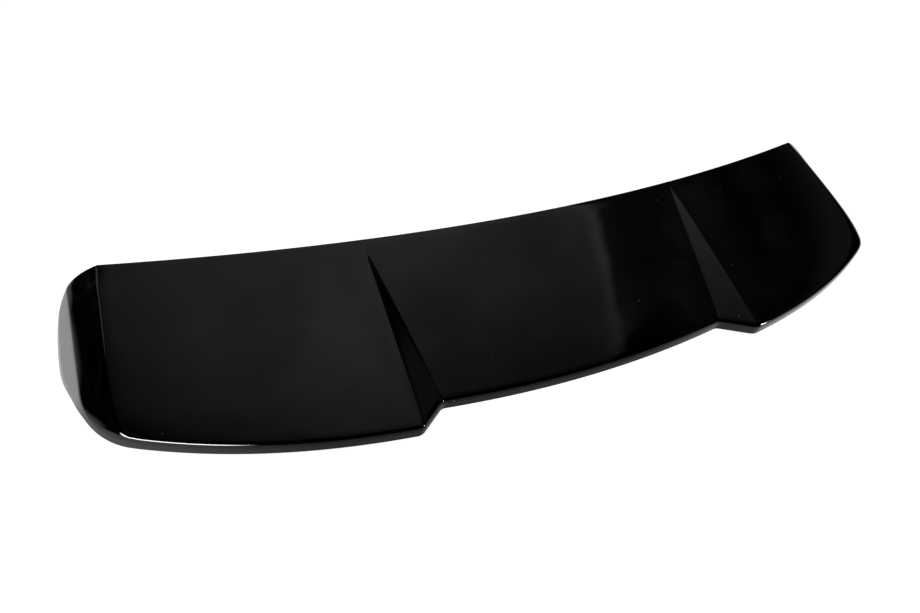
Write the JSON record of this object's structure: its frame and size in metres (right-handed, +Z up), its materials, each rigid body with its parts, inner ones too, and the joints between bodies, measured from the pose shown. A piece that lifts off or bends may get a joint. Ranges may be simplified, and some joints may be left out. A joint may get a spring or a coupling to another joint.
{
  "type": "car roof spoiler",
  "caption": "One-piece gloss black rear roof spoiler for a car, a thin open-backed shell with a sunken middle, low trailing lip and deeper end walls.",
  "frame": {"origin": "centre of the part's footprint, on the surface it rests on", "axes": "+X along the span to one end, +Y forward towards the edge that meets the roof, +Z up out of the glossy skin"},
  "size_m": [1.1494, 0.2638, 0.107],
  "materials": {
    "shell": "high-gloss black coat over moulded plastic, plain moulded plastic underneath"
  },
  "bodies": {
    "root": {"spoiler_shell": "shell"}
  },
  "joints": []
}
